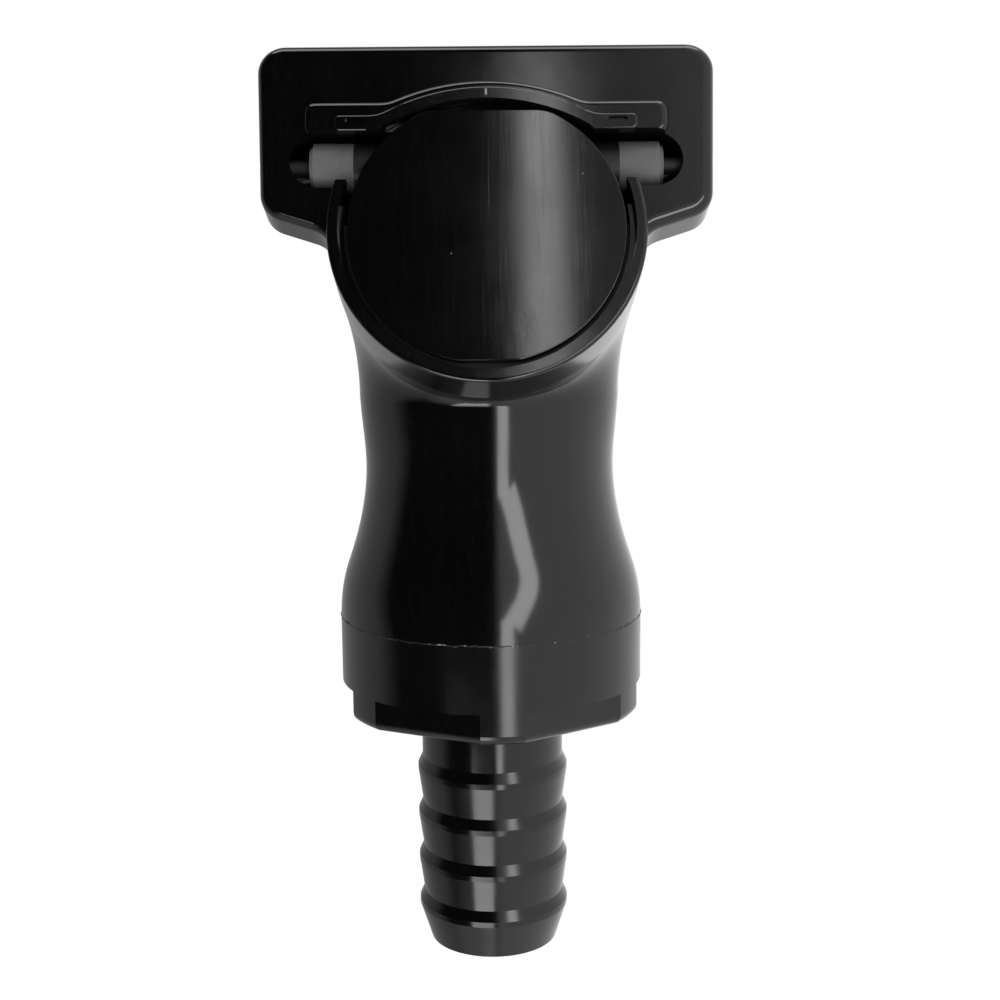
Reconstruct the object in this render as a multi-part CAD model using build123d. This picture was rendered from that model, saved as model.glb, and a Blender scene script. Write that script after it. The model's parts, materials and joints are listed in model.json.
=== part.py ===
"""Side-mount fill neck with a sprung flap and a barbed hose tail.

Frame: millimetres, +Z up, -Y out of the mouth, +X to the right of someone facing the mouth.
The origin is midway between the two fixing holes, on the back face of the flange.
Sketches on the flange use x and v: v is the height above the middle of the mouth.
The neck has its own frame: its origin is on the neck axis at the weld seam, with +Z up the neck.
"""
from build123d import *
from math import cos, pi, radians, sin, sqrt, tan
import os

# Hose tail (38 mm hose)
HOSE_BORE = 38.0            # inside diameter of the hose that fits the tail
BARB_GRIP = 1.5             # barb crest over the hose bore
BARB_ROOT_DROP = 2.4        # crest diameter less root diameter
BARB_PITCH = 12.4
BARB_COUNT = 4
BARB_LAND = 1.4             # flat top of each crest
BARB_RISE = 2.6             # steep side of each crest, towards the body
TAIL_COLLAR = 17.0          # plain length between the wrench flats and the first crest
TAIL_TIP = 10.0             # length beyond the last crest
TIP_DIAMETER = 33.5
TAIL_BORE = 31.0

# Neck, bulge and wrench flats
NECK_LEAN = 20.0            # degrees between the neck and the flange
WAIST_DIAMETER = 63.5
WAIST_HEIGHT = 38.0         # above the weld seam
NECK_TOP_DIAMETER = 66.0
BULGE_DIAMETER = 78.2
WALL = 3.0
ELBOW_RADIUS = 40.0
NECK_TOP_HEIGHT = 56.4      # where the elbow ends, above the weld seam
HEX_FLATS = 72.6            # wrench size
HEX_LENGTH = 8.0
CAP_SKIRT = 17.0            # from the weld seam down to the wrench flats
CAP_FLOOR = 4.0
CAP_TURN = 4.0              # degrees that the welded cap is turned on the neck
CAP_EDGE = 2.5

# Mouth ring and flange
MOUTH_RADIUS = 36.8         # outside of the mouth ring
LIP = 2.6                   # thickness of the lip
LIP_ROUND = 0.9
MOUTH_WALL = 2.2            # wall behind the ledge
MOUTH_DEPTH = 14.6          # straight part of the mouth
LIP_STAND = 5.0             # lip in front of the flange
FLANGE_DEPTH = 12.0
FLANGE_TOP_WIDTH = 108.4
FLANGE_BOTTOM_WIDTH = 105.4
FLANGE_TOP = 47.5           # above the middle of the mouth
FLANGE_CORNER = 6.0         # height of the side corners above the middle of the mouth
FLANGE_SLOPE = 18.5         # degrees, lower edges
CORNER_RADIUS = 6.5
THROAT_FILLET = 7.0         # between the lower edges and the mouth ring
EDGE_ROUND = 2.6
FIXING_HEIGHT = 34.0        # fixing holes above the middle of the mouth
FIXING_SPACING = 90.0
GASKET = 1.5
GASKET_INSET = 1.0
GASKET_GAP = 1.5            # between the gasket and the neck

# Hood over the flap and the hinge
HOOD_RADIUS = 52.0
HOOD_OVER = 0.4             # top of the arch above the mouth ring
HOOD_SHELF = 3.0            # width of the step around the raised rim
RIM_WIDTH = 3.0             # raised rim over the mouth
SHOULDER_REACH = 42.6
SHOULDER_HEIGHT = 8.5       # of the step
SHOULDER_RIM = 3.9          # height of the raised rim on each shoulder
SHOULDER_LAP = 0.4          # rim's lower edge below the top of the ear behind it
SHOULDER_TAPER = 2.5        # rim's end inside the step's end, for each millimetre of shelf
HOOD_STEP = 2.5             # height of the raised rim over the step
HOOD_JOIN = 8.0             # concave fillet where the arch meets the shoulders
STEP_ROUND = 1.7
RIM_ROUND = 0.7
SLOT_LENGTH = 5.0           # small recess in the face of each shoulder
SLOT_HEIGHT = 1.4
SLOT_DEPTH = 0.8
SLOT_PLACE = 30.2
SLOT_RISE = 2.3             # above the shoulder's lower edge

# Flap, carrier and hinge
FLAP_GAP = 2.0              # between the disc and the lip
FLAP_RECESS = 1.5           # disc behind the lip
FLAP_THICKNESS = 2.2
FLAP_TOP_CUT = 3.2          # taken off the round disc at the top
FLAP_BOTTOM_CUT = 0.8
FLAP_CORNER = 10.0          # between the round edge and the straight ones
FLAP_ROUND = 0.4
CARRIER_PLATE = 2.5
CARRIER_INSET = 1.2         # carrier's plate inside the disc's edge
HINGE_HEIGHT = 18.0
HINGE_DEPTH = 9.8           # behind the lip
EAR_DIAMETER = 11.6
EAR_REACH = 40.5
EAR_GAP = 0.75              # around the ear in its pocket
POCKET_REACH = 45.9
PIN_DIAMETER = 4.0
PIN_REACH = 49.0
PIN_CLEARANCE = 0.25        # radial, between the bushes
RUNNING_GAP = 0.05          # radial, pin in bush
EAR_LENGTH = 9.5            # bush that shows beyond the carrier's barrel
SPIGOT_DIAMETER = 8.0       # bush's inner end, plugged into the barrel
SPIGOT_LENGTH = 4.0
BUSH_FLANGE = 0.8
BUSH_FLANGE_STEP = 1.0
PLUG_DIAMETER = 6.0
PLUG_INSET = 0.2
SEAL_THICKNESS = 1.5
SEAL_MARGIN = 1.1           # between the seal and the mouth's wall
SEAL_GAP = 0.1              # between the seal and the ledge
LEDGE_WIDTH = 1.7
LEDGE_THICKNESS = 1.6
SEAT_TOP = 2.0              # upper end of the seal, above the middle of the mouth
SCREW_DIAMETER = 2.5
SCREW_HEAD = 4.6
SCREW_HEAD_HEIGHT = 1.6
SCREW_BITE = 1.5            # depth of the screws in the disc
SCREW_PLACES = [(-15, 3), (15, 3), (-15, -20), (15, -20)]

# Springs
WIRE = 1.2
COIL_MEAN = 8.4
COIL_TURNS = 3
COIL_PITCH = 1.35
COIL_START = 8.0            # inner end of each coil, from the middle of the hinge
CORE_DIAMETER = 6.4         # carrier's core inside the coil
COIL_ROOM = 0.5             # around the coil in the carrier
FIXED_LEG = 10.5
FIXED_LEG_LEAN = 5.0        # degrees from the plane of the disc
MOVING_LEG = 13.0
MOVING_LEG_LEAN = 9.5

# Float ball, its seat and its cage
BALL_DIAMETER = 46.0
BALL_WALL = 1.6
BALL_REST = 3.0             # middle of the resting ball, above the weld seam
BALL_GAP = 0.3
SEAT_LAP = 3.0              # seat's bore smaller than the ball, on each side
SEAT_THICKNESS = 7.0
SEAT_STEP = 0.6             # step in the neck that the seat ring stops against
SEAL_CORD = 3.0
SEAL_LAP = 1.0              # seal's middle inside the ball's edge
CAGE_RIBS = 4
CAGE_RIB = 3.5
CAGE_RING = 3.0
FIT = 0.15                  # clearance of loose pieces in the bore

# Fixings
INSERT_DIAMETER = 7.0
INSERT_LENGTH = 8.0
THREAD_BORE = 4.2           # tapping size of an M5 thread
SCREW_PASSAGE = 5.4         # hole in the gasket

# Places worked out from the sizes above
MOUTH_Z = -FIXING_HEIGHT
LIP_Y = -FLANGE_DEPTH - LIP_STAND
HINGE_Y = LIP_Y + HINGE_DEPTH
HINGE_Z = MOUTH_Z + HINGE_HEIGHT
BEND = 90.0 - NECK_LEAN
ELBOW_RUN = ELBOW_RADIUS * tan(radians(BEND / 2))
CORNER_DEPTH = MOUTH_DEPTH + ELBOW_RUN
FLAP_RADIUS = MOUTH_RADIUS - LIP - FLAP_GAP
CARRIER_FRONT = FLAP_RECESS + FLAP_THICKNESS
CARRIER_BACK = CARRIER_FRONT + CARRIER_PLATE
SEAL_FRONT = CARRIER_BACK - SEAL_THICKNESS - SEAL_GAP
LEDGE_BACK = SEAL_FRONT - SEAL_GAP
STOP_FRONT = CARRIER_FRONT + 0.2
BARREL_REACH = EAR_REACH - EAR_LENGTH
COIL_END = COIL_START + COIL_TURNS * COIL_PITCH + WIRE
BORE_RADIUS = MOUTH_RADIUS - MOUTH_WALL
LEDGE_RADIUS = BORE_RADIUS - LEDGE_WIDTH
SEAL_RADIUS = BORE_RADIUS - SEAL_MARGIN
CARRIER_RADIUS = FLAP_RADIUS - CARRIER_INSET
FLAP_TOP_FLAT = FLAP_RADIUS - FLAP_TOP_CUT
FLAP_BOTTOM_FLAT = FLAP_RADIUS - FLAP_BOTTOM_CUT
HOOD_CENTRE = MOUTH_RADIUS + HOOD_OVER - HOOD_RADIUS
POCKET_RADIUS = EAR_DIAMETER / 2 + EAR_GAP
SHOULDER_BOTTOM = HINGE_HEIGHT + EAR_DIAMETER / 2 - SHOULDER_LAP
SHOULDER_TOP = SHOULDER_BOTTOM + SHOULDER_HEIGHT
SLOT_LEVEL = SHOULDER_BOTTOM + SLOT_RISE
NECK_TOP_RADIUS = NECK_TOP_DIAMETER / 2
BULGE_RADIUS = BULGE_DIAMETER / 2
WAIST_RADIUS = WAIST_DIAMETER / 2
CREST_RADIUS = (HOSE_BORE + BARB_GRIP) / 2
ROOT_RADIUS = CREST_RADIUS - BARB_ROOT_DROP / 2
HEX_BOTTOM = -CAP_SKIRT - HEX_LENGTH
FIRST_CREST = HEX_BOTTOM - TAIL_COLLAR
LAST_CREST = FIRST_CREST - (BARB_COUNT - 1) * BARB_PITCH
TIP_Z = LAST_CREST - TAIL_TIP
CAP_INSIDE = HEX_BOTTOM + CAP_FLOOR
SEAT_BORE = BALL_DIAMETER - 2 * SEAT_LAP
SEAL_MEAN = BALL_DIAMETER - 2 * SEAL_LAP
SEAT_FIT_RADIUS = WAIST_RADIUS - WALL + SEAT_STEP
SEAT_TOP_Z = WAIST_HEIGHT + SEAT_THICKNESS / 2
SEAT_BOTTOM_Z = SEAT_TOP_Z - SEAT_THICKNESS


def front_plane(depth):
    """Plane parallel to the flange, at this depth behind the lip, centred on the mouth."""
    return Plane(origin=(0, LIP_Y + depth, MOUTH_Z), x_dir=(1, 0, 0), z_dir=(0, -1, 0))


def slab(sketch, front, back):
    """A sketch in x and v, made solid between two depths behind the lip."""
    return extrude(front_plane(back) * sketch, back - front)


def x_rod(radius, start, end, y=HINGE_Y, z=HINGE_Z):
    """Cylinder along X between two places."""
    rod = Cylinder(radius, end - start, rotation=(0, 90, 0))
    return Pos((start + end) / 2, y, z) * rod


def neck_frame():
    """Location of the neck's own frame: on the neck axis at the weld seam, +Z up the neck."""
    drop = NECK_TOP_HEIGHT + ELBOW_RUN
    y = LIP_Y + CORNER_DEPTH + drop * sin(radians(NECK_LEAN))
    z = MOUTH_Z - drop * cos(radians(NECK_LEAN))
    return Location((0, y, z), (NECK_LEAN, 0, 0))


NECK = neck_frame()


# Outer shell ------------------------------------------------------------------------------

def elbow(start_radius, end_radius, steps=7):
    """Bend from the mouth down to the neck: round sections that shrink smoothly."""
    sections = []
    for step in range(steps):
        turn = radians(BEND * step / (steps - 1))
        ease = (1 - cos(pi * step / (steps - 1))) / 2
        radius = start_radius + (end_radius - start_radius) * ease
        y = LIP_Y + MOUTH_DEPTH + ELBOW_RADIUS * sin(turn)
        z = MOUTH_Z - ELBOW_RADIUS * (1 - cos(turn))
        place = Plane(origin=(0, y, z), x_dir=(1, 0, 0), z_dir=(0, cos(turn), -sin(turn)))
        sections.append(place * Circle(radius))
    return loft(sections)


def neck_profile(skin):
    """Half outline of the neck above the seam, a skin's thickness inside the outer face."""
    top = NECK_TOP_HEIGHT
    side = Spline(
        (NECK_TOP_RADIUS - skin, top),
        (WAIST_RADIUS - skin, WAIST_HEIGHT),
        (BULGE_RADIUS - 3.8 - skin, WAIST_HEIGHT * 0.48),
        (BULGE_RADIUS - skin, 0),
        tangents=((-0.05, -1), (0.02, -1)),
    )
    outline = side + Polyline((BULGE_RADIUS - skin, 0), (0, 0), (0, top), (NECK_TOP_RADIUS - skin, top))
    return Plane.XZ * make_face(outline)


def flange_outline():
    """Flange seen from the front: a plate whose lower edges run into the mouth ring."""
    half_top = FLANGE_TOP_WIDTH / 2
    half_bottom = FLANGE_BOTTOM_WIDTH / 2
    throat = MOUTH_RADIUS - 0.8
    low = FLANGE_CORNER - (half_bottom - throat * 0.9) * tan(radians(FLANGE_SLOPE))
    right = [(0, FLANGE_TOP), (half_top, FLANGE_TOP), (half_bottom, FLANGE_CORNER), (throat * 0.9, low)]
    left = [(-x, v) for x, v in reversed(right[1:])]
    plate = make_face(Polyline(*right, *left, close=True))
    corners = [p for p in plate.vertices() if abs(p.X) > throat]
    plate = fillet(corners, CORNER_RADIUS)
    shape = plate + Circle(throat)
    throats = [p for p in shape.vertices() if p.Y < FLANGE_CORNER and abs(abs(p.X) - throat) < 3]
    return fillet(throats, THROAT_FILLET)


def flange():
    front, back = LIP_STAND, LIP_STAND + FLANGE_DEPTH
    body = slab(flange_outline(), front, back)
    front_face = body.faces().sort_by(Axis.Y)[0]
    return fillet(front_face.edges(), EDGE_ROUND)


def arch(inset):
    """Large round that flattens the top of the mouth, drawn in from the hood's outer edge."""
    return Pos(0, HOOD_CENTRE) * Circle(HOOD_RADIUS - inset)


def hood_outline(inset):
    """Arch over the mouth with a shoulder on each side, drawn in from the outer edge."""
    reach = SHOULDER_REACH - SHOULDER_TAPER * inset
    low = SHOULDER_BOTTOM
    high = SHOULDER_TOP - (SHOULDER_HEIGHT - SHOULDER_RIM) * inset / HOOD_SHELF
    band = Pos(0, low) * Rectangle(1.5 * MOUTH_RADIUS, 60)
    shoulders = Pos(0, (high + low) / 2) * RectangleRounded(2 * reach, high - low, (high - low) * 0.3)
    shape = (arch(inset) & band) + shoulders
    join = sqrt((HOOD_RADIUS - inset) ** 2 - (high - HOOD_CENTRE) ** 2)
    corners = [p for p in shape.vertices() if abs(abs(p.X) - join) < 0.5 and abs(p.Y - high) < 0.5]
    return fillet(corners, HOOD_JOIN)


def hood():
    """Raised rim on a wider step, both with softened edges."""
    step = slab(hood_outline(0), HOOD_STEP, LIP_STAND + 2)
    rim = slab(hood_outline(HOOD_SHELF), 0, HOOD_STEP + 1)
    step = fillet(step.faces().sort_by(Axis.Y)[0].edges(), STEP_ROUND)
    rim = fillet(rim.faces().sort_by(Axis.Y)[0].edges(), RIM_ROUND)
    slot = SlotOverall(SLOT_LENGTH, SLOT_HEIGHT)
    body = step + rim
    for side in (-1, 1):
        body = body - slab(Pos(side * SLOT_PLACE, SLOT_LEVEL) * slot, -1, SLOT_DEPTH)
    return body


def hinge_pockets():
    """Slots for the ears, open to the front under the hood's rim and through the mouth ring."""
    slot = Pos(0, HINGE_HEIGHT) * SlotOverall(2 * POCKET_REACH, 2 * POCKET_RADIUS)
    under_rim = slot & half_plane(SHOULDER_BOTTOM, -1)
    well = x_rod(POCKET_RADIUS, -POCKET_REACH, POCKET_REACH) & slab(slot, 0, LIP_STAND + FLANGE_DEPTH)
    return slab(under_rim, -1, HOOD_STEP) + slab(slot, HOOD_STEP, HINGE_DEPTH) + well


def half_plane(v, side):
    """Large square whose lower edge (side 1) or upper edge (side -1) is at this v."""
    return Pos(0, v + side * 50) * Rectangle(110, 100)


def ledge():
    """Step inside the mouth: the seal's seat below the hinge, a stop for the disc above it."""
    seat = (Circle(BORE_RADIUS + 0.5) - Circle(LEDGE_RADIUS)) & half_plane(SEAT_TOP + 4, -1)
    high = HINGE_HEIGHT + POCKET_RADIUS
    stop = Circle(BORE_RADIUS + 0.5) & half_plane(high, 1)
    return (slab(seat, LEDGE_BACK - LEDGE_THICKNESS, LEDGE_BACK)
            + slab(stop, STOP_FRONT, STOP_FRONT + LEDGE_THICKNESS))


def fixing_places():
    return [-FIXING_SPACING / 2, FIXING_SPACING / 2]


def along_y(radius, x, z, front, back):
    """Cylinder along Y between two places."""
    return Pos(x, (front + back) / 2, z) * Cylinder(radius, back - front, rotation=(90, 0, 0))


def plug_end():
    """Outer end of the pin plugs, just inside the flange's side."""
    share = (FLANGE_TOP - HINGE_HEIGHT) / (FLANGE_TOP - FLANGE_CORNER)
    return (FLANGE_TOP_WIDTH + (FLANGE_BOTTOM_WIDTH - FLANGE_TOP_WIDTH) * share) / 2 - PLUG_INSET


def neck_body():
    """Flange, hood, mouth ring, elbow and neck down to the weld seam, as one moulding."""
    tube = slab(Circle(MOUTH_RADIUS), 0, MOUTH_DEPTH)
    tube = fillet(tube.faces().sort_by(Axis.Y)[0].edges(), LIP_ROUND)
    above = half_plane(HINGE_HEIGHT, 1) - arch(HOOD_SHELF + 0.5)
    tube = tube - slab(above, -1, LIP_STAND)
    neck = NECK * revolve(neck_profile(0), Axis.Z)
    body = tube + elbow(MOUTH_RADIUS, NECK_TOP_RADIUS) + neck + flange() + hood()
    opening = Circle(MOUTH_RADIUS - LIP) & arch(HOOD_SHELF + RIM_WIDTH)
    mouth = slab(opening, -1, LEDGE_BACK)
    bore = slab(Circle(BORE_RADIUS), LEDGE_BACK - 1, MOUTH_DEPTH)
    passage = elbow(BORE_RADIUS, NECK_TOP_RADIUS - WALL) + NECK * revolve(neck_profile(WALL), Axis.Z)
    seat = NECK * Cylinder(SEAT_FIT_RADIUS, SEAT_TOP_Z, align=(Align.CENTER, Align.CENTER, Align.MIN))
    body = body - mouth - bore - passage - seat
    body = body + ledge() - hinge_pockets()
    body = body - x_rod(PIN_DIAMETER / 2, -PIN_REACH, PIN_REACH)
    for side in (-1, 1):
        body = body - x_rod(PLUG_DIAMETER / 2, *sorted((side * PIN_REACH, side * FLANGE_TOP_WIDTH)))
    for x in fixing_places():
        body = body - along_y(INSERT_DIAMETER / 2, x, 0, -INSERT_LENGTH, 1)
    return body


# Tail cap ---------------------------------------------------------------------------------

def barb_profile():
    """Half outline of the hose tail, from the wrench flats to the tip."""
    points = [(TAIL_BORE / 2, HEX_BOTTOM), (ROOT_RADIUS, HEX_BOTTOM)]
    for crest in range(BARB_COUNT):
        z = FIRST_CREST - crest * BARB_PITCH
        points += [
            (ROOT_RADIUS, z + BARB_LAND / 2 + BARB_RISE),
            (CREST_RADIUS, z + BARB_LAND / 2),
            (CREST_RADIUS, z - BARB_LAND / 2),
        ]
    points += [(TIP_DIAMETER / 2, TIP_Z), (TAIL_BORE / 2, TIP_Z)]
    return Plane.XZ * make_face(Polyline(*points, close=True))


def column(radius, bottom, top):
    """Round bar about the neck axis, in the neck's own frame."""
    return Pos(0, 0, bottom) * Cylinder(radius, top - bottom, align=(Align.CENTER, Align.CENTER, Align.MIN))


def tail_cap():
    """Lower half of the bulge with wrench flats and the hose tail."""
    hexagon = RegularPolygon(HEX_FLATS / 2, 6, major_radius=False, rotation=30 + CAP_TURN)
    flats = extrude(Pos(0, 0, HEX_BOTTOM) * (hexagon & Circle(BULGE_RADIUS)), HEX_LENGTH)
    flats = fillet(flats.faces().sort_by(Axis.Z)[0].edges(), CAP_EDGE)
    body = column(BULGE_RADIUS, -CAP_SKIRT, 0) + flats + revolve(barb_profile(), Axis.Z)
    hollow = column(BULGE_RADIUS - WALL, CAP_INSIDE, 0)
    through = column(TAIL_BORE / 2, TIP_Z, CAP_INSIDE)
    return NECK * (body - hollow - through)


# Flap -------------------------------------------------------------------------------------

def flap_disc():
    """Flat disc, cut straight at the top and the bottom."""
    height = FLAP_TOP_FLAT + FLAP_BOTTOM_FLAT
    middle = (FLAP_TOP_FLAT - FLAP_BOTTOM_FLAT) / 2
    outline = Circle(FLAP_RADIUS) & Pos(0, middle) * Rectangle(100, height)
    disc = slab(fillet(outline.vertices(), FLAP_CORNER), FLAP_RECESS, CARRIER_FRONT)
    disc = fillet(disc.faces().sort_by(Axis.Y)[0].edges(), FLAP_ROUND)
    for x, v in SCREW_PLACES:
        disc = disc - slab(Pos(x, v) * Circle(SCREW_DIAMETER / 2), CARRIER_FRONT - SCREW_BITE, CARRIER_FRONT)
    return disc


def coil_slot(side):
    """Room around one coil and its legs in the carrier."""
    start, end = COIL_START - 1.6, COIL_END + 1.6
    radius = COIL_MEAN / 2 + WIRE / 2 + COIL_ROOM
    ends = sorted((side * start, side * end))
    room = x_rod(radius, *ends) - x_rod(CORE_DIAMETER / 2, *ends)
    low = HINGE_HEIGHT - MOVING_LEG + 1.2
    high = HINGE_HEIGHT + EAR_DIAMETER
    window = Pos(side * (start + end) / 2, (low + high) / 2) * Rectangle(end - start, high - low)
    return room + (slab(window, CARRIER_FRONT, HINGE_DEPTH) - x_rod(CORE_DIAMETER / 2, *ends))


def spigot(side):
    """Inner end of a bush, without its bore."""
    return x_rod(SPIGOT_DIAMETER / 2, *sorted((side * (BARREL_REACH - SPIGOT_LENGTH), side * BARREL_REACH)))


def flap_carrier():
    """Plate behind the disc with a barrel across it that holds a bush at each end."""
    top = HINGE_HEIGHT + EAR_DIAMETER / 2
    plate = slab(Circle(CARRIER_RADIUS) & half_plane(top, -1), CARRIER_FRONT, CARRIER_BACK)
    body = plate + x_rod(EAR_DIAMETER / 2, -BARREL_REACH, BARREL_REACH)
    body = body - x_rod(PIN_DIAMETER / 2 + PIN_CLEARANCE, -EAR_REACH, EAR_REACH)
    for side in (-1, 1):
        body = body - spigot(side) - coil_slot(side)
    for x, v in SCREW_PLACES:
        body = body - slab(Pos(x, v) * Circle(SCREW_DIAMETER / 2 + 0.1), CARRIER_FRONT, CARRIER_BACK)
    return body


def flap_seal():
    """Flat strip around the lower part of the carrier's plate."""
    strip = (Circle(SEAL_RADIUS) - Circle(CARRIER_RADIUS)) & half_plane(SEAT_TOP, -1)
    return slab(strip, SEAL_FRONT, SEAL_FRONT + SEAL_THICKNESS)


def flap_screws():
    """Four small screws, driven from behind the carrier into the disc."""
    screws = []
    for x, v in SCREW_PLACES:
        shank = slab(Pos(x, v) * Circle(SCREW_DIAMETER / 2), CARRIER_FRONT - SCREW_BITE, CARRIER_BACK)
        head = slab(Pos(x, v) * Circle(SCREW_HEAD / 2), CARRIER_BACK, CARRIER_BACK + SCREW_HEAD_HEIGHT)
        head = fillet(head.faces().sort_by(Axis.Y)[-1].edges(), 0.5)
        socket = slab(Pos(x, v) * RegularPolygon(1.0, 6), CARRIER_BACK + SCREW_HEAD_HEIGHT - 0.9,
                      CARRIER_BACK + SCREW_HEAD_HEIGHT + 0.1)
        screws.append(shank + head - socket)
    return Compound(screws)


# Hinge ------------------------------------------------------------------------------------

def hinge_pin():
    pin = x_rod(PIN_DIAMETER / 2, -PIN_REACH, PIN_REACH)
    return chamfer(pin.faces().sort_by(Axis.X)[0].edges() + pin.faces().sort_by(Axis.X)[-1].edges(), 0.4)


def pin_plug(side):
    return x_rod(PLUG_DIAMETER / 2, *sorted((side * PIN_REACH, side * plug_end())))


def hinge_bush(side):
    """Ear on one end of the barrel, with a thin flange towards the pocket's end."""
    outer = EAR_REACH + BUSH_FLANGE
    ear = x_rod(EAR_DIAMETER / 2, *sorted((side * BARREL_REACH, side * EAR_REACH)))
    collar = x_rod(EAR_DIAMETER / 2 - BUSH_FLANGE_STEP, *sorted((side * EAR_REACH, side * outer)))
    return ear + collar + spigot(side) - x_rod(PIN_DIAMETER / 2 + RUNNING_GAP, -outer - 1, outer + 1)


def torsion_spring(side):
    """Coil around the hinge with one leg up behind the stop and one leg down on the carrier."""
    radius = COIL_MEAN / 2
    turned = COIL_TURNS + (FIXED_LEG_LEAN + MOVING_LEG_LEAN) / 360
    coil = Helix(COIL_PITCH, COIL_PITCH * turned, radius)
    down = coil @ 0 - (coil % 0) * MOVING_LEG
    up = coil @ 1 + (coil % 1) * FIXED_LEG
    path = Wire([Line(down, coil @ 0), coil, Line(coil @ 1, up)])
    section = Plane(origin=down, z_dir=coil % 0) * Circle(WIRE / 2)
    spring = sweep(section, path=path)
    spring = Rot(0, 0, -MOVING_LEG_LEAN) * spring
    spring = Location(Plane(origin=(COIL_START + WIRE / 2, HINGE_Y, HINGE_Z), x_dir=(0, -1, 0),
                            z_dir=(1, 0, 0))) * spring
    return spring if side > 0 else mirror(spring, about=Plane.YZ)


# Float valve ------------------------------------------------------------------------------

def seat_ring():
    """Ring in the waist, grooved below for the seal that the ball closes against."""
    ring = column(SEAT_FIT_RADIUS - FIT, SEAT_BOTTOM_Z, SEAT_TOP_Z)
    ring = ring - column(SEAT_BORE / 2, SEAT_BOTTOM_Z, SEAT_TOP_Z)
    return NECK * (ring - Pos(0, 0, SEAT_BOTTOM_Z + 0.5) * Torus(SEAL_MEAN / 2, SEAL_CORD / 2))


def seat_seal():
    return NECK * (Pos(0, 0, SEAT_BOTTOM_Z + 0.5) * Torus(SEAL_MEAN / 2, SEAL_CORD / 2))


def float_ball():
    """Hollow ball that floats up against the seat."""
    return NECK * (Pos(0, 0, BALL_REST) * (Sphere(BALL_DIAMETER / 2) - Sphere(BALL_DIAMETER / 2 - BALL_WALL)))


def ball_cage():
    """Fins that hold the resting ball off the outlet, and ribs that guide it up to the seat."""
    guide = BALL_DIAMETER / 2 + 0.8
    bottom, top = CAP_INSIDE, SEAT_BOTTOM_Z - FIT
    base_radius = BULGE_RADIUS - WALL - FIT
    rib_radius = WAIST_RADIUS - WALL - 0.3
    cage = column(base_radius, bottom, bottom + CAGE_RING) - column(base_radius - 5, bottom, bottom + CAGE_RING)
    cage = cage + column(rib_radius, top - CAGE_RING, top) - column(guide, top - CAGE_RING, top)
    fin_length = base_radius - 1 - TAIL_BORE / 2
    fin_height = BALL_REST - 15 - bottom
    rib_length = rib_radius - guide
    for index in range(CAGE_RIBS):
        fin = Pos(TAIL_BORE / 2 + 1 + fin_length / 2 - 0.5, 0, bottom + fin_height / 2) * Box(
            fin_length - 1, CAGE_RIB, fin_height)
        rib = Pos(guide + rib_length / 2 - 0.05, 0, (bottom + top) / 2) * Box(
            rib_length - 0.1, CAGE_RIB, top - bottom)
        cage = cage + Rot(0, 0, 45 + 360 / CAGE_RIBS * index) * (fin + rib)
    cage = cage - Pos(0, 0, BALL_REST) * Sphere(BALL_DIAMETER / 2 + BALL_GAP)
    return NECK * cage


# Fixings ----------------------------------------------------------------------------------

def mounting_gasket():
    """Flat pad behind the flange, open around the neck."""
    outline = offset(flange_outline(), -GASKET_INSET)
    outline = outline - Circle(MOUTH_RADIUS + GASKET_GAP) - half_plane(-GASKET_INSET, -1)
    for x in fixing_places():
        outline = outline - Pos(x, FIXING_HEIGHT) * Circle(SCREW_PASSAGE / 2)
    back = LIP_STAND + FLANGE_DEPTH
    return slab(outline, back, back + GASKET)


def threaded_inserts():
    return Compound([
        along_y(INSERT_DIAMETER / 2, x, 0, -INSERT_LENGTH, 0) - along_y(THREAD_BORE / 2, x, 0, -INSERT_LENGTH, 0)
        for x in fixing_places()
    ])


def sided(make, side):
    return lambda: make(side)


SHAPES = {
    "neck_body": neck_body,
    "tail_cap": tail_cap,
    "flap_disc": flap_disc,
    "flap_carrier": flap_carrier,
    "flap_seal": flap_seal,
    "flap_screws": flap_screws,
    "hinge_pin": hinge_pin,
    "pin_plug_left": sided(pin_plug, -1),
    "pin_plug_right": sided(pin_plug, 1),
    "hinge_bush_left": sided(hinge_bush, -1),
    "hinge_bush_right": sided(hinge_bush, 1),
    "torsion_spring_left": sided(torsion_spring, -1),
    "torsion_spring_right": sided(torsion_spring, 1),
    "seat_ring": seat_ring,
    "seat_seal": seat_seal,
    "float_ball": float_ball,
    "ball_cage": ball_cage,
    "mounting_gasket": mounting_gasket,
    "threaded_inserts": threaded_inserts,
}


def main():
    os.makedirs("parts", exist_ok=True)
    for name, make in SHAPES.items():
        shape = make()
        shape.label = name
        export_step(shape, f"parts/{name}.step")
        print(name, round(shape.volume))


main()
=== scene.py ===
"""Looks of a side-mount fill neck with a sprung flap: finishes, small moulded details, lights and camera."""
import json
import math
import random

import bpy
from mathutils import Matrix, Vector


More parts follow.
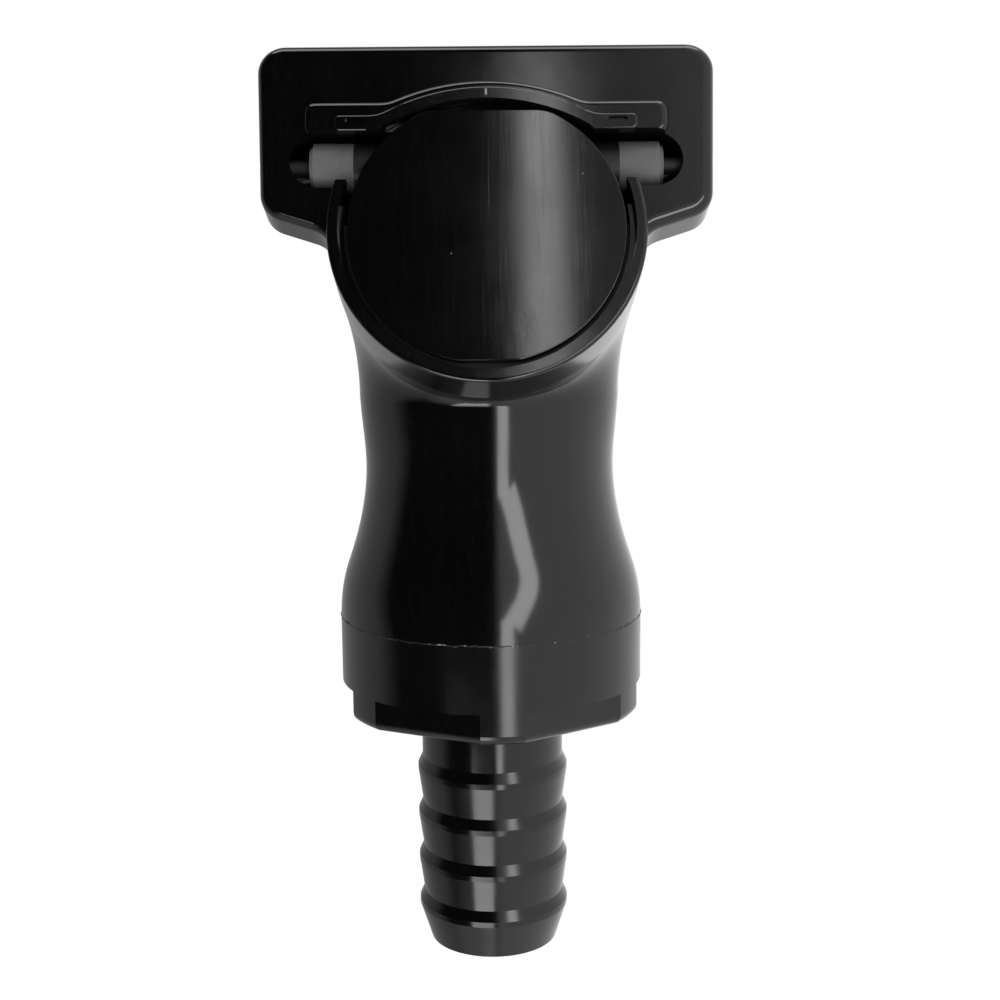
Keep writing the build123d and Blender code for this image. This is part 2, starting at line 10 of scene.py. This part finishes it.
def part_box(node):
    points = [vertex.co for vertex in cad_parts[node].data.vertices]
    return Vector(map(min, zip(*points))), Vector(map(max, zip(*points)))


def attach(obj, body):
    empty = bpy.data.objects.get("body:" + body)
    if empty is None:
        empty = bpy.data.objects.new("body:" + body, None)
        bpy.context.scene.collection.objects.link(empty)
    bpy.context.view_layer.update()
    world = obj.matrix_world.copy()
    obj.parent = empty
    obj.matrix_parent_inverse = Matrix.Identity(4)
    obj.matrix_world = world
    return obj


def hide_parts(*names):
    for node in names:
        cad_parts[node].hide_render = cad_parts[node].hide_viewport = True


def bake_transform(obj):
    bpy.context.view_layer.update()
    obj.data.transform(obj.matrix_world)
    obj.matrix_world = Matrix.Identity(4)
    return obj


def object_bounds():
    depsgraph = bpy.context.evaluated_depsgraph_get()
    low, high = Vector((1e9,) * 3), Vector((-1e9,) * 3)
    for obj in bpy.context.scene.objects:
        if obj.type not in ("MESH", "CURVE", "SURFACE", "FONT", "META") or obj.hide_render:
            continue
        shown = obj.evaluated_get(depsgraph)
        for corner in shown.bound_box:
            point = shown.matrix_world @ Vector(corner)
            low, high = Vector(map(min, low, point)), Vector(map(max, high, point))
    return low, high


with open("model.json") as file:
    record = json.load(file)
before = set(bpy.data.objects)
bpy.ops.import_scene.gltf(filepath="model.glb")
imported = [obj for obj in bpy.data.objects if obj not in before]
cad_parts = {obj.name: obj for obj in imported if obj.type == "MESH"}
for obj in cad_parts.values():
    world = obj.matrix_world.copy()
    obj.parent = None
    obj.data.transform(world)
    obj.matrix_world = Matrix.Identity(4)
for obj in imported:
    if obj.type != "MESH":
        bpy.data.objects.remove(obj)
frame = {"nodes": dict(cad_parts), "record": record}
cad_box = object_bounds()

MM = 0.001
LEAN = math.radians(20.0)                 # neck's lean from the flange
BEAD_RADIUS = 39.05 * MM                  # middle of the weld bead, just inside the cap's face
BEAD_STEPS = 360
BEAD_THICKNESS = 0.24 * MM                # radius of the bead's section
BEAD_SIDES = 10
BEAD_WANDER = 0.22 * MM                   # how far the bead strays up or down
GATE_RADIUS = 0.5 * MM
GATE_RISE = 3.7 * MM                      # above the top of the flap's disc
GATE_SHAPE = (0.7, 0.5, 1.9)              # share of the radius along each axis
TAIL_HALF_LENGTH = 18.6 * MM              # half of the barbed length
CREST_TO_SEAM = 42.0 * MM                 # from the top of the barbed length up to the weld seam
CAMERA_DISTANCE = 410 * MM
CAMERA_RISE = 96.2 * MM                   # above the weld seam, along the neck
AIM_RISE = 29 * MM
CAMERA_TURN = math.radians(-0.3)
CAMERA_ROLL = math.radians(-0.5)
CAMERA_LENS = 57.6
CAMERA_SIDE = 2.6 * MM
LIGHT_DISTANCE = 1.0
CARD_BRIGHTNESS = 3.5
FLOOR_SIZE = 12
FLOOR_DROP = 160 * MM                     # below the lowest point of the object
FLOOR_GLOW = 0.7
RIGHT_WALL = 1.0                          # brightness of the room as the gloss sees it
BACK_WALL = 0.4
LOW_WALL = 0.8
SOFT_ROOM = 0.35                          # brightness of the room for soft light
RUB_PLACE = (8.4 * MM, -15.5 * MM, -56.5 * MM)
HAIR_PLACE = (0.4 * MM, -15.5 * MM, -23.0 * MM)

nodes = frame["nodes"]
mounts = {mount["name"]: mount for mount in frame["record"]["mounts"]}


# Places -----------------------------------------------------------------------------------

def seam_centre():
    """Point on the neck's axis at the weld seam, measured up from the hose tail's mount."""
    tail = Vector(mounts["hose_tail"]["pos_m"])
    up = -Vector(mounts["hose_tail"]["axis"]).normalized()
    return tail + up * (TAIL_HALF_LENGTH + CREST_TO_SEAM)


SEAM = seam_centre()
UP = Vector((0, -math.sin(LEAN), math.cos(LEAN)))
FRONT = Vector((0, -math.cos(LEAN), -math.sin(LEAN)))
RIGHT = Vector((1, 0, 0))


def neck_place(right, rise, forward):
    """World point from sizes measured across the neck, up it from the seam, and forward."""
    return SEAM + RIGHT * right + UP * rise + FRONT * forward


# Node groups ------------------------------------------------------------------------------

def new_group(name, inputs, outputs):
    """Shader node group with named sockets: (name, kind, default)."""
    group = bpy.data.node_groups.new(name, "ShaderNodeTree")
    for label, kind, value in inputs:
        socket = group.interface.new_socket(label, in_out="INPUT", socket_type=kind)
        if value is not None:
            socket.default_value = value
    for label, kind in outputs:
        group.interface.new_socket(label, in_out="OUTPUT", socket_type=kind)
    start = group.nodes.new("NodeGroupInput")
    end = group.nodes.new("NodeGroupOutput")
    return group, start, end


def add(tree, kind, **settings):
    """New node of this kind with these settings."""
    node = tree.nodes.new(kind)
    for key, value in settings.items():
        setattr(node, key, value)
    return node


def math_node(tree, operation, first, second=None, clamp=False):
    """Math node whose inputs are sockets or numbers; returns its output."""
    node = add(tree, "ShaderNodeMath", operation=operation, use_clamp=clamp)
    for index, value in enumerate((first, second)):
        if value is None:
            continue
        if hasattr(value, "links"):
            tree.links.new(value, node.inputs[index])
        else:
            node.inputs[index].default_value = value
    return node.outputs[0]


def spread(tree, value, low, high, to_low, to_high):
    """Map Range node; returns its output."""
    node = add(tree, "ShaderNodeMapRange")
    tree.links.new(value, node.inputs["Value"])
    for name, number in (("From Min", low), ("From Max", high), ("To Min", to_low), ("To Max", to_high)):
        node.inputs[name].default_value = number
    return node.outputs["Result"]


def scratch_group():
    """Long fine scratches along one direction: a mask that is 1 in a scratch."""
    group, start, end = new_group(
        "fine_scratches",
        [("Stretch", "NodeSocketVector", (1, 1, 1)), ("Amount", "NodeSocketFloat", 0.5)],
        [("Mask", "NodeSocketFloat")])
    place = add(group, "ShaderNodeTexCoord")
    mapping = add(group, "ShaderNodeMapping")
    group.links.new(place.outputs["Object"], mapping.inputs["Vector"])
    group.links.new(start.outputs["Stretch"], mapping.inputs["Scale"])
    noise = add(group, "ShaderNodeTexNoise")
    noise.inputs["Scale"].default_value = 1.0
    noise.inputs["Detail"].default_value = 4.0
    noise.inputs["Roughness"].default_value = 0.7
    group.links.new(mapping.outputs["Vector"], noise.inputs["Vector"])
    centred = math_node(group, "ABSOLUTE", math_node(group, "SUBTRACT", noise.outputs["Fac"], 0.5))
    line = spread(group, centred, 0.0, 0.012, 1.0, 0.0)
    mask = math_node(group, "MULTIPLY", line, start.outputs["Amount"], clamp=True)
    group.links.new(mask, end.inputs["Mask"])
    return group


def moulded_group():
    """Skin of a plastic moulding: slow waves, dust specks and patches that change the gloss."""
    group, start, end = new_group(
        "moulded_skin",
        [("Wave Size", "NodeSocketFloat", 90.0), ("Speck Size", "NodeSocketFloat", 260.0),
         ("Smooth", "NodeSocketFloat", 0.14), ("Dull", "NodeSocketFloat", 0.3)],
        [("Roughness", "NodeSocketFloat"), ("Height", "NodeSocketFloat"), ("Specks", "NodeSocketFloat")])
    place = add(group, "ShaderNodeTexCoord").outputs["Object"]
    wave = add(group, "ShaderNodeTexNoise")
    wave.inputs["Detail"].default_value = 1.5
    group.links.new(place, wave.inputs["Vector"])
    group.links.new(start.outputs["Wave Size"], wave.inputs["Scale"])
    patch = add(group, "ShaderNodeTexNoise")
    patch.inputs["Scale"].default_value = 55.0
    patch.inputs["Detail"].default_value = 6.0
    group.links.new(place, patch.inputs["Vector"])
    cells = add(group, "ShaderNodeTexVoronoi")
    group.links.new(place, cells.inputs["Vector"])
    group.links.new(start.outputs["Speck Size"], cells.inputs["Scale"])
    dots = spread(group, cells.outputs["Distance"], 0.03, 0.06, 1.0, 0.0)
    few = spread(group, cells.outputs["Color"], 0.88, 0.9, 0.0, 1.0)
    specks = math_node(group, "MULTIPLY", dots, few, clamp=True)
    worn = spread(group, patch.outputs["Fac"], 0.35, 0.7, 0.0, 1.0)
    rise = math_node(group, "SUBTRACT", start.outputs["Dull"], start.outputs["Smooth"])
    rough = math_node(group, "ADD", start.outputs["Smooth"], math_node(group, "MULTIPLY", worn, rise))
    group.links.new(math_node(group, "ADD", rough, math_node(group, "MULTIPLY", specks, 0.3)),
                    end.inputs["Roughness"])
    group.links.new(wave.outputs["Fac"], end.inputs["Height"])
    group.links.new(specks, end.inputs["Specks"])
    return group


def grain_group():
    """Fine grain of a textured moulding, rubber or turned metal."""
    group, start, end = new_group(
        "fine_grain",
        [("Size", "NodeSocketVector", (2500, 2500, 2500)), ("Low", "NodeSocketFloat", 0.4),
         ("High", "NodeSocketFloat", 0.6)],
        [("Roughness", "NodeSocketFloat"), ("Height", "NodeSocketFloat")])
    place = add(group, "ShaderNodeTexCoord").outputs["Object"]
    mapping = add(group, "ShaderNodeMapping")
    group.links.new(place, mapping.inputs["Vector"])
    group.links.new(start.outputs["Size"], mapping.inputs["Scale"])
    noise = add(group, "ShaderNodeTexNoise")
    noise.inputs["Scale"].default_value = 1.0
    noise.inputs["Detail"].default_value = 3.0
    group.links.new(mapping.outputs["Vector"], noise.inputs["Vector"])
    span = math_node(group, "SUBTRACT", start.outputs["High"], start.outputs["Low"])
    risen = math_node(group, "MULTIPLY", noise.outputs["Fac"], span)
    rough = math_node(group, "ADD", start.outputs["Low"], risen)
    group.links.new(rough, end.inputs["Roughness"])
    group.links.new(noise.outputs["Fac"], end.inputs["Height"])
    return group


def patch_group():
    """Soft-edged oval patch: a mask that is 1 in its middle."""
    group, start, end = new_group(
        "soft_patch",
        [("Middle", "NodeSocketVector", (0, 0, 0)), ("Shape", "NodeSocketVector", (200, 200, 200)),
         ("Edge", "NodeSocketFloat", 0.5)],
        [("Mask", "NodeSocketFloat")])
    place = add(group, "ShaderNodeTexCoord").outputs["Object"]
    shift = add(group, "ShaderNodeVectorMath", operation="SUBTRACT")
    group.links.new(place, shift.inputs[0])
    group.links.new(start.outputs["Middle"], shift.inputs[1])
    scaled = add(group, "ShaderNodeVectorMath", operation="MULTIPLY")
    group.links.new(shift.outputs[0], scaled.inputs[0])
    group.links.new(start.outputs["Shape"], scaled.inputs[1])
    reach = add(group, "ShaderNodeVectorMath", operation="LENGTH")
    group.links.new(scaled.outputs[0], reach.inputs[0])
    ramp = add(group, "ShaderNodeMapRange", interpolation_type="SMOOTHSTEP")
    group.links.new(reach.outputs["Value"], ramp.inputs["Value"])
    group.links.new(start.outputs["Edge"], ramp.inputs["From Min"])
    ramp.inputs["From Max"].default_value = 1.0
    ramp.inputs["To Min"].default_value = 1.0
    ramp.inputs["To Max"].default_value = 0.0
    group.links.new(ramp.outputs["Result"], end.inputs["Mask"])
    return group


SCRATCHES = scratch_group()
PATCH = patch_group()
MOULDED = moulded_group()
GRAIN = grain_group()


# Materials --------------------------------------------------------------------------------

def blank_material(name, color, roughness=0.5, metallic=0.0):
    """Plain material; returns it with its node tree and its shader."""
    material = bpy.data.materials.new(name)
    material.use_nodes = True
    shader = material.node_tree.nodes["Principled BSDF"]
    shader.inputs["Base Color"].default_value = (*color, 1)
    shader.inputs["Roughness"].default_value = roughness
    shader.inputs["Metallic"].default_value = metallic
    return material, material.node_tree, shader


def place_group(tree, group, **values):
    """Node group in a material, with an underscore in a name for a space in the socket's."""
    node = add(tree, "ShaderNodeGroup", node_tree=group)
    for name, value in values.items():
        node.inputs[name.replace("_", " ")].default_value = value
    return node


def bump(tree, shader, height, strength, distance, under=None):
    """Bump from a height, laid over another normal if one is given; returns its normal."""
    node = add(tree, "ShaderNodeBump")
    node.inputs["Strength"].default_value = strength
    node.inputs["Distance"].default_value = distance
    tree.links.new(height, node.inputs["Height"])
    if under is not None:
        tree.links.new(under, node.inputs["Normal"])
    tree.links.new(node.outputs["Normal"], shader.inputs["Normal"])
    return node.outputs["Normal"]


def mix_color(tree, mask, low, high):
    """Color that goes from low to high with the mask."""
    node = add(tree, "ShaderNodeMix", data_type="RGBA")
    tree.links.new(mask, node.inputs["Factor"])
    node.inputs["A"].default_value = (*low, 1)
    node.inputs["B"].default_value = (*high, 1)
    return node.outputs["Result"]


def gloss_black(name, color, smooth, dull, stretch, scratch, wave=90.0, wave_height=0.00006):
    """Black moulded plastic: waves in the gloss, dull patches, dust and directional scratches."""
    material, tree, shader = blank_material(name, color)
    skin = place_group(tree, MOULDED, Wave_Size=wave, Smooth=smooth, Dull=dull)
    lines = place_group(tree, SCRATCHES, Stretch=stretch, Amount=scratch)
    rough = math_node(tree, "ADD", skin.outputs["Roughness"],
                      math_node(tree, "MULTIPLY", lines.outputs["Mask"], 0.18), clamp=True)
    tree.links.new(rough, shader.inputs["Roughness"])
    marks = math_node(tree, "ADD", math_node(tree, "MULTIPLY", skin.outputs["Specks"], 0.8),
                      math_node(tree, "MULTIPLY", lines.outputs["Mask"], 0.12), clamp=True)
    tree.links.new(mix_color(tree, marks, color, (0.30, 0.30, 0.30)), shader.inputs["Base Color"])
    slow = bump(tree, shader, skin.outputs["Height"], 0.5, wave_height)
    bump(tree, shader, lines.outputs["Mask"], scratch, 0.00002, under=slow)
    return material


def scuffed_black(name, color):
    """The flap's gloss: faint upright wear, one rubbed spot low down and a hairline near the middle."""
    material = gloss_black(name, color, 0.07, 0.10, (900, 900, 16), 0.1, wave=40.0, wave_height=0.00002)
    tree = material.node_tree
    shader = tree.nodes["Principled BSDF"]
    rub = place_group(tree, PATCH, Middle=RUB_PLACE, Shape=(280, 50, 150), Edge=0.1)
    rub_lines = place_group(tree, SCRATCHES, Stretch=(1500, 100, 260), Amount=1.0)
    hair = place_group(tree, PATCH, Middle=HAIR_PLACE, Shape=(9000, 50, 70), Edge=0.4)
    breaks = place_group(tree, SCRATCHES, Stretch=(60, 60, 300), Amount=3.0)
    rubbed = math_node(tree, "MULTIPLY", rub.outputs["Mask"], rub_lines.outputs["Mask"], clamp=True)
    hairline = math_node(tree, "MULTIPLY", hair.outputs["Mask"],
                         math_node(tree, "ADD", breaks.outputs["Mask"], 0.35), clamp=True)
    marks = math_node(tree, "MAXIMUM", rubbed, math_node(tree, "MULTIPLY", hairline, 0.6), clamp=True)
    plain = shader.inputs["Base Color"].links[0].from_socket
    node = add(tree, "ShaderNodeMix", data_type="RGBA")
    tree.links.new(math_node(tree, "MULTIPLY", marks, 0.5), node.inputs["Factor"])
    tree.links.new(plain, node.inputs["A"])
    node.inputs["B"].default_value = (0.35, 0.35, 0.35, 1)
    tree.links.new(node.outputs["Result"], shader.inputs["Base Color"])
    rough = shader.inputs["Roughness"].links[0].from_socket
    duller = math_node(tree, "ADD", rough, math_node(tree, "MULTIPLY", rub.outputs["Mask"], 0.03), clamp=True)
    tree.links.new(duller, shader.inputs["Roughness"])
    return material


def grained(name, color, size, low, high, metallic=0.0, depth=0.00003, tint=None):
    """Textured moulding, rubber or metal with a fine grain."""
    material, tree, shader = blank_material(name, color, metallic=metallic)
    grain = place_group(tree, GRAIN, Size=size, Low=low, High=high)
    tree.links.new(grain.outputs["Roughness"], shader.inputs["Roughness"])
    shade = mix_color(tree, grain.outputs["Height"], color, tint or color)
    tree.links.new(shade, shader.inputs["Base Color"])
    bump(tree, shader, grain.outputs["Height"], 0.5, depth)
    return material


MATERIALS = {
    "neck_plastic": gloss_black("neck_plastic", (0.003, 0.003, 0.003), 0.10, 0.14, (260, 260, 40), 0.1),
    "cap_plastic": gloss_black("cap_plastic", (0.003, 0.003, 0.003), 0.15, 0.22, (300, 300, 50), 0.1),
    "flap_plastic": scuffed_black("flap_plastic", (0.003, 0.003, 0.003)),
    "carrier_plastic": grained("carrier_plastic", (0.006, 0.006, 0.006), (2600, 2600, 2600), 0.35, 0.5),
    "plug_plastic": grained("plug_plastic", (0.02, 0.02, 0.02), (2000, 2000, 2000), 0.35, 0.5),
    "cage_plastic": grained("cage_plastic", (0.70, 0.68, 0.62), (900, 900, 900), 0.35, 0.5),
    "seat_plastic": grained("seat_plastic", (0.66, 0.65, 0.60), (900, 900, 900), 0.35, 0.5),
    "bush_plastic": grained("bush_plastic", (0.12, 0.12, 0.12), (1800, 2600, 2600), 0.45, 0.65,
                            tint=(0.20, 0.20, 0.20)),
    "ball_plastic": grained("ball_plastic", (0.80, 0.80, 0.77), (300, 300, 300), 0.22, 0.32),
    "seal_rubber": grained("seal_rubber", (0.02, 0.02, 0.02), (3000, 3000, 3000), 0.6, 0.8),
    "gasket_rubber": grained("gasket_rubber", (0.025, 0.025, 0.026), (1600, 1600, 1600), 0.65, 0.85,
                             depth=0.0001, tint=(0.05, 0.05, 0.05)),
    "pin_steel": grained("pin_steel", (0.012, 0.012, 0.012), (200, 4000, 4000), 0.5, 0.65),
    "spring_steel": grained("spring_steel", (0.35, 0.35, 0.36), (4000, 4000, 4000), 0.25, 0.4, metallic=1.0),
    "screw_steel": grained("screw_steel", (0.62, 0.62, 0.63), (3000, 3000, 3000), 0.25, 0.4, metallic=1.0),
    "insert_brass": grained("insert_brass", (0.75, 0.53, 0.24), (2500, 400, 2500), 0.25, 0.4, metallic=1.0),
}


def finish_nodes():
    """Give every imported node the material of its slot."""
    slots = {entry["node"]: entry["material_slot"] for entry in frame["record"]["subparts"]}
    for name, node in nodes.items():
        material = MATERIALS[slots[name]]
        for index in range(len(node.material_slots)):
            node.material_slots[index].material = material


# Moulded details --------------------------------------------------------------------------

def deselect():
    """Clear the selection, because an operator acts on all that is selected."""
    bpy.ops.object.select_all(action="DESELECT")


def settle(piece):
    """Put the piece's place into its mesh."""
    deselect()
    piece.select_set(True)
    bpy.context.view_layer.objects.active = piece
    bpy.ops.object.transform_apply(location=True, rotation=True, scale=True)


def dress(piece, name, slot, material=None):
    """Name and material of a new piece; the material is the slot's own unless one is given."""
    piece.name = name
    piece.data.name = name
    piece.data.materials.clear()
    piece.data.materials.append(material or MATERIALS[slot])


def torn_material(name, low, high):
    """Torn plastic: dull black with pale specks where the grain is above this level."""
    material, tree, shader = blank_material(name, (0.01, 0.01, 0.01))
    grain = place_group(tree, GRAIN, Size=(900, 900, 900), Low=0.35, High=0.6)
    tree.links.new(grain.outputs["Roughness"], shader.inputs["Roughness"])
    pale = spread(tree, grain.outputs["Height"], low, high, 0.0, 1.0)
    tree.links.new(mix_color(tree, pale, (0.008, 0.008, 0.008), (0.4, 0.4, 0.4)), shader.inputs["Base Color"])
    bump(tree, shader, grain.outputs["Height"], 0.6, 0.0001)
    return material


def weld_bead():
    """Thin uneven flash that the weld left all round the seam."""
    deselect()
    bpy.ops.mesh.primitive_torus_add(major_radius=BEAD_RADIUS, minor_radius=BEAD_THICKNESS,
                                     major_segments=BEAD_STEPS, minor_segments=BEAD_SIDES)
    bead = bpy.context.object
    draw = random.Random(4)
    uneven = [draw.uniform(0.4, 1.0) * (1.0 if draw.random() < 0.75 else 1.5) for _ in range(BEAD_STEPS)]
    wander = [draw.uniform(-BEAD_WANDER, BEAD_WANDER) for _ in range(BEAD_STEPS)]
    for vertex in bead.data.vertices:
        angle = math.atan2(vertex.co.y, vertex.co.x)
        index = round(angle / math.tau * BEAD_STEPS) % BEAD_STEPS
        ring = Vector((math.cos(angle), math.sin(angle), 0)) * BEAD_RADIUS
        offset = (vertex.co - ring) * uneven[index]
        vertex.co = ring + offset + Vector((0, 0, wander[index]))
    bead.rotation_euler = (LEAN, 0, 0)
    bead.location = SEAM
    settle(bead)
    bpy.ops.object.shade_smooth()
    dress(bead, "weld_bead", "cap_plastic", torn_material("weld_flash", 0.60, 0.68))
    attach(bead, "neck")


def gate_mark():
    """Torn stub that the moulding gate left on the hood's rim."""
    deselect()
    top_of_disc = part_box("flap_disc")[1][2]
    rim = Vector((0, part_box("neck_body")[0][1], top_of_disc + GATE_RISE))
    bpy.ops.mesh.primitive_ico_sphere_add(subdivisions=3, radius=GATE_RADIUS, location=rim)
    mark = bpy.context.object
    draw = random.Random(11)
    for vertex in mark.data.vertices:
        torn = vertex.co * draw.uniform(0.75, 1.1)
        vertex.co = [share * size for share, size in zip(GATE_SHAPE, torn)]
    settle(mark)
    bpy.ops.object.shade_smooth()
    dress(mark, "gate_mark", "neck_plastic", torn_material("gate_tear", 0.45, 0.5))
    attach(mark, "neck")


def flexing_spring(node_name):
    """Smooth-shaded copy of a spring node, welded at its seams, that stands in for the hidden original."""
    source = nodes[node_name]
    spring = source.copy()
    spring.data = source.data.copy()
    bpy.context.scene.collection.objects.link(spring)
    spring.parent = None
    spring.matrix_world = Matrix.Identity(4)
    deselect()
    spring.select_set(True)
    bpy.context.view_layer.objects.active = spring
    bpy.ops.object.mode_set(mode="EDIT")
    bpy.ops.mesh.select_all(action="SELECT")
    bpy.ops.mesh.remove_doubles(threshold=0.000001)
    bpy.ops.object.mode_set(mode="OBJECT")
    bpy.ops.object.shade_smooth()
    dress(spring, node_name.replace("torsion_spring", "wound_spring"), "spring_steel")
    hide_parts(node_name)
    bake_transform(spring)


# Studio -----------------------------------------------------------------------------------

def studio_world():
    """White room whose reflections are dark on the left of the front and pale elsewhere."""
    world = bpy.data.worlds.new("studio")
    bpy.context.scene.world = world
    world.use_nodes = True
    tree = world.node_tree
    background = tree.nodes["Background"]
    place = add(tree, "ShaderNodeTexCoord").outputs["Generated"]
    apart = add(tree, "ShaderNodeSeparateXYZ")
    tree.links.new(place, apart.inputs[0])
    right = spread(tree, apart.outputs["X"], 0.04, 0.16, 0.0, RIGHT_WALL)
    behind = spread(tree, apart.outputs["Y"], -0.15, 0.15, 0.0, BACK_WALL)
    below = spread(tree, apart.outputs["Z"], -0.88, -0.62, LOW_WALL, 0.0)
    walls = math_node(tree, "MAXIMUM", math_node(tree, "MAXIMUM", right, behind), below)
    paths = add(tree, "ShaderNodeLightPath")
    reflected = math_node(tree, "MULTIPLY", walls, paths.outputs["Is Glossy Ray"])
    soft = math_node(tree, "MULTIPLY", paths.outputs["Is Diffuse Ray"], SOFT_ROOM)
    seen = math_node(tree, "ADD", paths.outputs["Is Camera Ray"], soft)
    mixed = math_node(tree, "ADD", reflected, seen)
    color = add(tree, "ShaderNodeCombineColor")
    for index in range(3):
        tree.links.new(mixed, color.inputs[index])
    tree.links.new(color.outputs[0], background.inputs["Color"])
    background.inputs["Strength"].default_value = 1.0


def floor():
    """White floor under the object, kept out of the reflections."""
    deselect()
    bpy.ops.mesh.primitive_plane_add(size=FLOOR_SIZE, location=(0, 0, cad_box[0][2] - FLOOR_DROP))
    ground = bpy.context.object
    ground.name = "floor"
    material, _, shader = blank_material("floor_white", (0.9, 0.9, 0.9), roughness=0.9)
    shader.inputs["Specular IOR Level"].default_value = 0.0
    shader.inputs["Emission Color"].default_value = (1, 1, 1, 1)
    shader.inputs["Emission Strength"].default_value = FLOOR_GLOW
    ground.data.materials.append(material)
    ground.visible_glossy = False


def camera():
    """Camera in front of the neck, a little above the seam and tipped down to it."""
    data = bpy.data.cameras.new("camera")
    data.lens = CAMERA_LENS
    data.sensor_width = 36
    data.clip_start = 0.01
    eye = bpy.data.objects.new("camera", data)
    bpy.context.scene.collection.objects.link(eye)
    turned = math.sin(CAMERA_TURN) * CAMERA_DISTANCE
    forward = math.cos(CAMERA_TURN) * CAMERA_DISTANCE
    eye.location = neck_place(turned + CAMERA_SIDE, CAMERA_RISE, forward)
    aim = neck_place(CAMERA_SIDE, AIM_RISE, 0)
    back = (eye.location - aim).normalized()
    across = UP.cross(back).normalized()
    above = back.cross(across)
    turn = Matrix((across, above, back)).transposed()
    eye.rotation_euler = (turn @ Matrix.Rotation(CAMERA_ROLL, 3, "Z")).to_euler()
    bpy.context.scene.camera = eye


def area_light(name, width, height, brightness):
    """Rectangular light that shows in the gloss and gives no soft light."""
    data = bpy.data.lights.new(name, "AREA")
    data.shape = "RECTANGLE"
    data.size = width
    data.size_y = height
    data.energy = brightness * math.pi * width * height
    light = bpy.data.objects.new(name, data)
    bpy.context.scene.collection.objects.link(light)
    light.visible_diffuse = False
    return light


def strip_light(name, right, rise, width, height, brightness, tilt=0.0):
    """Upright strip in front of the neck, placed by its shift to the right and its rise."""
    place = neck_place(right, rise, LIGHT_DISTANCE)
    light = area_light(name, width, height, brightness)
    turn = Matrix((RIGHT, UP, RIGHT.cross(UP))).transposed()
    light.matrix_world = Matrix.Translation(place) @ (turn @ Matrix.Rotation(-tilt, 3, "Z")).to_4x4()


def overhead_card():
    """Card above and in front of the flange; only rounded top edges reflect it."""
    card = area_light("overhead_card", 1.0, 0.6, CARD_BRIGHTNESS)
    card.location = (0, -0.35, 1.0)
    card.rotation_euler = (math.radians(-18), 0, 0)


def lights():
    """Narrow strips that draw the bright lines down the gloss, and a low card for the hose tail."""
    strip_light("flap_strip", 0.055, 0.93, 0.040, 0.55, 6.0)
    strip_light("neck_strip", 0.21, -0.20, 0.17, 0.50, 5.5)
    strip_light("bulge_strip", 0.50, 0.32, 0.28, 0.80, 5.5, tilt=math.radians(33))
    strip_light("low_card", -0.33, -1.05, 0.66, 1.2, 4.5)
    overhead_card()


finish_nodes()
weld_bead()
gate_mark()
for spring_name in ("torsion_spring_left", "torsion_spring_right"):
    flexing_spring(spring_name)
studio_world()
floor()
lights()
camera()
bpy.context.scene.view_settings.view_transform = "Standard"
